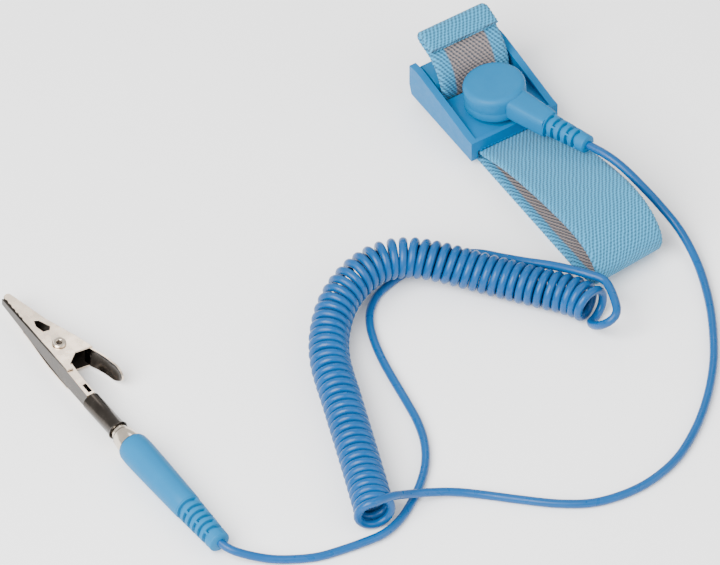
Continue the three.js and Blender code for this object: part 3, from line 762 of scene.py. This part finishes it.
class STRAP_OT_buckle(bpy.types.Operator):
    """Moulds the buckle's frame and its cam lever"""
    bl_idname = "strap.buckle"
    bl_label = "Buckle"

    def execute(self, context):
        teeth = [(-13.4, 8.4), (-13.4, 5.0), (-12.2, 5.0), (-12.2, 8.4)]
        buckle = make_object("buckle", *prism(CHEEK, 11.0, 12.9, "Y"), ["buckle"], ROW)
        combine(buckle, prism(CHEEK, -12.9, -11.0, "Y"), "UNION", ROW)
        combine(buckle, box(-28.9, -12.3, -11.5, 11.5, 4.7, 7.8), "UNION", ROW)
        combine(buckle, prism(teeth, -11.5, 11.5, "Y"), "UNION", ROW)
        combine(buckle, box(-38.4, -32.8, -11.5, 11.5, 2.2, 3.3), "UNION", ROW)
        soften(buckle, 0.32, 3)
        rows = []
        for k in range(21):
            y = -10.0 + k
            tooth = [(y - 0.42, 5.3), (y + 0.42, 5.3), (y, 4.2)]
            vertices, faces = prism(tooth, -13.3, -11.9)
            rows.append(([(x, a, b) for a, b, x in vertices], faces))
        lip = make_object("buckle_lip_teeth", *joined(*rows), ["buckle"], ROW, smooth=False)
        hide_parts("buckle_housing")

        px, pz = LEVER_PIVOT
        outline = []
        for i in range(25):
            angle = -math.pi / 2 + math.pi * i / 24
            outline.append((px + 2.9 * math.cos(angle), pz + 2.9 * math.sin(angle)))
        outline += [(-38.6, 11.3), (-39.9, 11.0), (-40.3, 10.2), (-39.9, 9.3), (-37.6, 8.2)]
        for tooth in range(3):
            x = -37.2 + tooth * 0.9
            outline += [(x, 5.6), (x + 0.45, 6.25)]
        lever = make_object("lever", *prism(outline, -10.4, 10.4, "Y"), ["lever"], ROW)
        soften(lever, 0.2, 2)
        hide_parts("clamp_lever")
        for obj in (buckle, lip):
            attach(obj, "band_and_buckle")
        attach(lever, "lever")
        dress("lever_pivot_pin", "steel")
        dress("skin_contact_plate", "steel")
        dress("stud_rivet", "steel")
        dress("snap_stud", "turned")
        return {"FINISHED"}


# ---------- snap cap ----------
class STRAP_OT_cap(bpy.types.Operator):
    """Moulds the snap cap with its neck, socket and strain relief"""
    bl_idname = "strap.cap"
    bl_label = "Snap cap"

    def execute(self, context):
        profile = [(7.6, 0.0), (7.85, 0.12), (8.0, 0.45), (8.0, 2.2), (7.93, 2.45), (7.93, 2.75), (8.0, 3.0)]
        for i in range(9):
            angle = math.pi / 2 * i / 8
            profile.append((8.0 - 1.5 + 1.5 * math.cos(angle), 7.0 - 1.5 + 1.5 * math.sin(angle)))
        profile += [(4.5, 7.05), (2.0, 7.08)]
        shell = make_object("cap_shell", *turned(capped(profile), 96, "Z"), ["shell"], CAP)
        stations = spline([(2.0, 3.9, 6.3), (6.0, 3.75, 6.2), (9.0, 3.6, 5.95), (13.5, 3.3, 5.45),
                           (17.2, 3.05, 5.1), (18.2, 2.9, 4.9)], 5)
        around = 48
        vertices = []
        for x, half, top in stations:
            bottom = 0.2 - 0.05 * x
            for j in range(around):
                angle = 2 * math.pi * j / around
                c, d = math.cos(angle), math.sin(angle)
                vertices.append((x, half * math.copysign(abs(c) ** 0.45, c),
                                 (top + bottom) / 2 + (top - bottom) / 2 * math.copysign(abs(d) ** 0.45, d)))
        neck = make_object("neck", vertices, ring_faces(len(stations), around, ends=True), ["shell"], CAP)
        neck.data.set_sharp_from_angle(angle=math.radians(60))
        hollow = turned(capped([(5.6, -1.0), (5.6, 5.4)]), 64, "Z")
        combine(shell, hollow, "DIFFERENCE", CAP)
        combine(neck, hollow, "DIFFERENCE", CAP)
        shell.data.shade_smooth()
        shell.data.set_sharp_from_angle(angle=math.radians(50))
        relief = make_object("cap_relief", *lift(sleeve(17.8, 31.0, 2.95, 2.35, 5, 0.8), NECK_AXIS),
                             ["shell"], CAP)
        relief.data.set_sharp_from_angle(angle=math.radians(40))
        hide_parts("snap_cap_shell")
        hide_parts("snap_strain_relief")
        for obj in (shell, neck, relief):
            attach(obj, "snap_cap")
        dress("socket_retainer", "black")
        dress("snap_socket", "turned")
        dress("socket_spring", "steel")
        dress("series_resistor", "resistor")
        return {"FINISHED"}


# ---------- plug ----------
class STRAP_OT_plug(bpy.types.Operator):
    """Turns the banana plug and moulds its boot and strain relief"""
    bl_idname = "strap.plug"
    bl_label = "Banana plug"

    def execute(self, context):
        profile = [(2.6, 5.2), (3.3, 5.25), (3.75, 5.6), (4.0, 6.3), (4.1, 7.4), (4.15, 9.0), (4.1, 12.0),
                   (4.0, 16.0), (3.85, 22.0), (3.7, 27.0), (3.6, 30.3), (3.5, 30.6)]
        boot = make_object("boot", *turned(capped(profile), 96), ["shell"], PLUG)
        relief = make_object("boot_relief", *sleeve(30.4, 45.0, 3.5, 2.85, 6, 0.85), ["shell"], PLUG)
        relief.data.set_sharp_from_angle(angle=math.radians(40))
        body = [(0.9, -12.0), (1.25, -11.4), (1.25, -0.1), (2.2, 0.0), (2.25, 0.6), (2.3, 0.9), (2.9, 1.6),
                (3.3, 4.7), (3.3, 5.1), (2.2, 5.2), (2.2, 15.4), (1.4, 16.0)]
        pin = make_object("plug_pin", *turned(capped(body), 64), ["turned"], PLUG)
        pin.data.set_sharp_from_angle(angle=math.radians(35))
        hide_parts("plug_boot")
        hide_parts("plug_strain_relief")
        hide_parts("banana_plug")
        for obj, slot in ((boot, "blue_plastic"), (relief, "blue_plastic"), (pin, "nickel")):
            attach(obj, "lead")
        dress("banana_spring", "turned")
        return {"FINISHED"}


# ---------- clip ----------
def wedge(wide_half, tip_half, tail_half, x=CLIP_PIVOT[0]):
    """The clip narrows towards its tip, from its widest stretch that starts at x."""
    return prism([(-56.0, -tip_half), (x, -wide_half), (-20.7, -wide_half), (-12, -tail_half),
                  (-12, tail_half), (-20.7, wide_half), (x, wide_half), (-56.0, tip_half)], -6, 16, "Y")


def saw(x0, y0, x1, y1, count, height):
    points = []
    for i in range(count):
        t, u = i / count, (i + 0.5) / count
        points.append((x0 + (x1 - x0) * t, y0 + (y1 - y0) * t))
        points.append((x0 + (x1 - x0) * u, y0 + (y1 - y0) * u + height))
    return points


def at_pivot(radius, half, sides=24):
    turns = [2 * math.pi * i / sides for i in range(sides)]
    return prism([(CLIP_PIVOT[0] + radius * math.cos(a), CLIP_PIVOT[1] + radius * math.sin(a)) for a in turns],
                 -half, half)


def channel(name, outline, halves, hollow, hollow_halves):
    """A pressed channel: an outline between two slanting sides, hollowed out, with painted shade on its
    inside.
    """
    obj = make_object(name, *prism(outline, -5, 5), ["nickel"], PLUG)
    combine(obj, wedge(*halves), "INTERSECT", PLUG)
    # The hollow's faces carry painted shade into the channel.
    inner = make_object("inner", *prism(hollow, -5, 5), ["lining"], PLUG)
    combine(inner, wedge(*hollow_halves), "INTERSECT", PLUG)
    cut = obj.modifiers.new("hollow", "BOOLEAN")
    cut.object = inner
    cut.operation = "DIFFERENCE"
    cut.material_mode = "TRANSFER"
    bake_modifiers(obj)
    bpy.data.objects.remove(inner)
    return obj


class STRAP_OT_clip(bpy.types.Operator):
    """Presses the alligator clip's jaws, rivet and spring"""
    bl_idname = "strap.clip"
    bl_label = "Alligator clip"

    def execute(self, context):
        x_pivot, y_pivot = CLIP_PIVOT
        lower_outline = [(-53.2, 0.1), (x_pivot, -0.75), (-12.6, -1.3), (-12.6, 1.1), (-19, 1.2),
                         (-25.4, 1.7), (-27.4, 4.4), (-33.4, 4.4), (-34.6, 2.3), (-37.3, 1.4),
                         (-38.4, 1.0), (-41.4, 0.9)] + saw(-42.6, 1.1, -53.2, 0.75, 6, 0.35)
        lower_hollow = [(-56, 0.6), (x_pivot, -0.3), (-16.5, -0.8), (-16.5, 8), (-56, 8)]
        lower = channel("lower_jaw", lower_outline, (2.85, 0.85, 2.5, -24.0), lower_hollow,
                        (2.4, 0.45, 2.0, -24.0))
        # The pivot hole and the slot behind it are lined with painted shade.
        combine(lower, at_pivot(1.3, 5), "DIFFERENCE", PLUG, ["lining"])
        combine(lower, box(-16.2, -13.4, -0.2, 0.75, -6, 6), "DIFFERENCE", PLUG, ["lining"])
        soften(lower, 0.1, 2, 30)
        # Painted shade on the lower jaw's flat faces towards its tip, and painted dark reflection on its faces
        # turned towards the camera.
        paint(lower, lambda centre, normal: "lining" if abs(normal.z) > 0.9 and centre.x < -26.0
              else "worn" if normal.y < -0.7 else None)

        sleeve_outer = [(2.05, -12.9), (2.4, -12.6), (2.4, -1.2), (2.75, -0.6), (2.6, -0.4), (2.05, -0.5),
                        (2.05, -12.9)]
        # The barrel is all painted dark reflection: its near-black colour stands in for what the round sleeve
        # mirrors.
        barrel = make_object("clip_barrel", *turned(sleeve_outer, 64), ["worn"], PLUG)
        barrel.data.set_sharp_from_angle(angle=math.radians(35))

        upper_outline = [(-53.3, 2.5), (-53.7, 1.7), (-53.3, 0.8)] + saw(-53.2, 0.75, -42.2, 0.0, 6, -0.25)
        upper_outline += [(-41.0, -0.2), (-33.0, -0.75), (-27.4, -0.95), (-22.0, -1.05), (-21.6, 0.7),
                          (-23.4, 0.95), (-25.9, 4.2), (-25.2, 8.8), (-40.2, 4.7)]
        upper_hollow = [(-57, -3), (-20, -3), (-20, 8.35), (-25.1, 8.35), (-40.2, 4.25), (-52.9, 2.05),
                        (-52.9, 0.2), (-57, 0.2)]
        upper = channel("upper_jaw", upper_outline, (3.45, 1.25, 3.1), upper_hollow, (3.0, 0.9, 2.7))
        window = [(-41.3, 1.9), (-40.7, 2.8), (-37.2, 4.0), (-36.2, 3.2), (-36.6, 1.6), (-39.2, 1.2)]
        # The window and the pivot hole are lined with painted shade.
        combine(upper, prism(window, -6, 6), "DIFFERENCE", PLUG, ["lining"])
        combine(upper, at_pivot(1.3, 5), "DIFFERENCE", PLUG, ["lining"])
        soften(upper, 0.12, 2, 30)
        # Painted shade on the upper jaw's faces turned towards the camera above its middle: the dark gap line
        # along the plate's edge.
        paint(upper, lambda centre, normal: "lining" if normal.y < -0.7 and centre.z > 0 else None)

        # The grip runs on from the jaw's back, dished and rounded off like a spoon.
        thumb_line = even(spline([(-27.2, 7.9, 0), (-25.2, 8.65, 0), (-22.5, 10.3, 0), (-18.9, 11.1, 0),
                                  (-16.4, 11.3, 0), (-14.6, 10.8, 0)], 8), 0.3)
        vertices, faces = [], []
        for i, point in enumerate(thumb_line):
            ahead = (thumb_line[min(i + 1, len(thumb_line) - 1)] - thumb_line[max(i - 1, 0)]).normalized()
            normal = Vector((-ahead.y, ahead.x, 0)) * 0.24
            share = i / (len(thumb_line) - 1)
            half = (3.2 - 0.3 * share) * math.sqrt(1 - (max(0.0, share - 0.7) / 0.303) ** 2)
            for offset in (normal, -normal):
                for j in range(9):
                    z = half * (-1 + 2 * j / 8)
                    dish = 1.2 * min(1.0, share / 0.4) * (z / 3.2) ** 2
                    vertices.append(point + offset - normal.normalized() * dish + Vector((0, 0, z)))
        size = 18
        ring = list(range(9)) + list(range(17, 8, -1))
        for i in range(len(thumb_line) - 1):
            for j in range(size):
                a, b = ring[j], ring[(j + 1) % size]
                faces.append((i * size + a, i * size + b, (i + 1) * size + b, (i + 1) * size + a))
        faces.append(tuple(ring))
        faces.append(tuple((len(thumb_line) - 1) * size + j for j in reversed(ring)))
        thumb = make_object("thumb_lever", vertices, faces, ["nickel"], PLUG)
        thumb.data.set_sharp_from_angle(angle=math.radians(40))
        # Painted dark reflection on the grip's faces turned towards the camera.
        paint(thumb, lambda centre, normal: "worn" if normal.y < -0.3 else None)

        profile = [(0.7, 3.3), (0.8, 3.9), (1.0, 4.05), (1.5, 4.1), (1.75, 3.95), (1.8, 3.6), (1.0, 3.55),
                   (1.0, -3.55), (1.8, -3.6), (1.75, -3.95), (1.5, -4.1), (0.6, -4.1)]
        vertices, faces = turned(capped(profile), 48, "Z")
        vertices = [(x + x_pivot, y + y_pivot, z) for x, y, z in vertices]
        rivet = make_object("clip_rivet", vertices, faces, ["turned"], PLUG)
        rivet.data.set_sharp_from_angle(angle=math.radians(35))
        # Painted shade: the rivet's centre is painted dark where its hole would lie in shade.
        paint(rivet, lambda centre, normal:
              "lining" if math.hypot(centre.x - x_pivot, centre.y - y_pivot) < 0.72 else None)

        wire = [(-34.4, 0.9, -1.35)]
        for i in range(73):
            angle = math.radians(-90 + 15 * i)
            wire.append((x_pivot + 1.75 * math.cos(angle), y_pivot + 1.75 * math.sin(angle),
                         -1.35 + 2.7 * i / 72))
        wire.append((-26.6, 0.9, 1.35))
        coil = make_object("clip_spring", *tube([Vector(p) for p in wire], 0.3, 10), ["steel"], PLUG)

        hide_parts("clip_lower_jaw")
        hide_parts("clip_upper_jaw")
        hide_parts("clip_pivot_rivet")
        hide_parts("clip_torsion_spring")
        riders = ((lower, "clip", "nickel"), (barrel, "clip", "nickel"), (rivet, "clip", "steel"),
                  (coil, "clip", "steel"), (upper, "clip_jaw", "nickel"), (thumb, "clip_jaw", "nickel"))
        for obj, body, slot in riders:
            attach(obj, body)
        return {"FINISHED"}


class STRAP_OT_declare(bpy.types.Operator):
    """An empty step: it does nothing and returns at once."""
    bl_idname = "strap.declare"
    bl_label = "Declare cord"

    def execute(self, context):
        return {"FINISHED"}


class STRAP_PT_panel(bpy.types.Panel):
    """Lists the steps that build the wrist strap"""
    bl_label = "Wrist strap"
    bl_idname = "STRAP_PT_panel"
    bl_space_type = "VIEW_3D"
    bl_region_type = "UI"
    bl_category = "Wrist strap"

    def draw(self, context):
        settings = context.scene.strap
        for name in StrapSettings.__annotations__:
            self.layout.prop(settings, name)
        for step in OPERATORS:
            self.layout.operator(step.bl_idname)


OPERATORS = (STRAP_OT_stage, STRAP_OT_cord, STRAP_OT_band, STRAP_OT_buckle, STRAP_OT_cap, STRAP_OT_plug,
             STRAP_OT_clip, STRAP_OT_declare)
CLASSES = (StrapSettings,) + OPERATORS + (STRAP_PT_panel,)


def register():
    for cls in CLASSES:
        bpy.utils.register_class(cls)
    bpy.types.Scene.strap = bpy.props.PointerProperty(type=StrapSettings)


def unregister():
    del bpy.types.Scene.strap
    for cls in reversed(CLASSES):
        bpy.utils.unregister_class(cls)


def main():
    register()
    bpy.ops.strap.stage()
    bpy.ops.strap.cord()
    bpy.ops.strap.band()
    bpy.ops.strap.buckle()
    bpy.ops.strap.cap()
    bpy.ops.strap.plug()
    bpy.ops.strap.clip()
    bpy.ops.strap.declare()


if __name__ == "__main__":
    main()
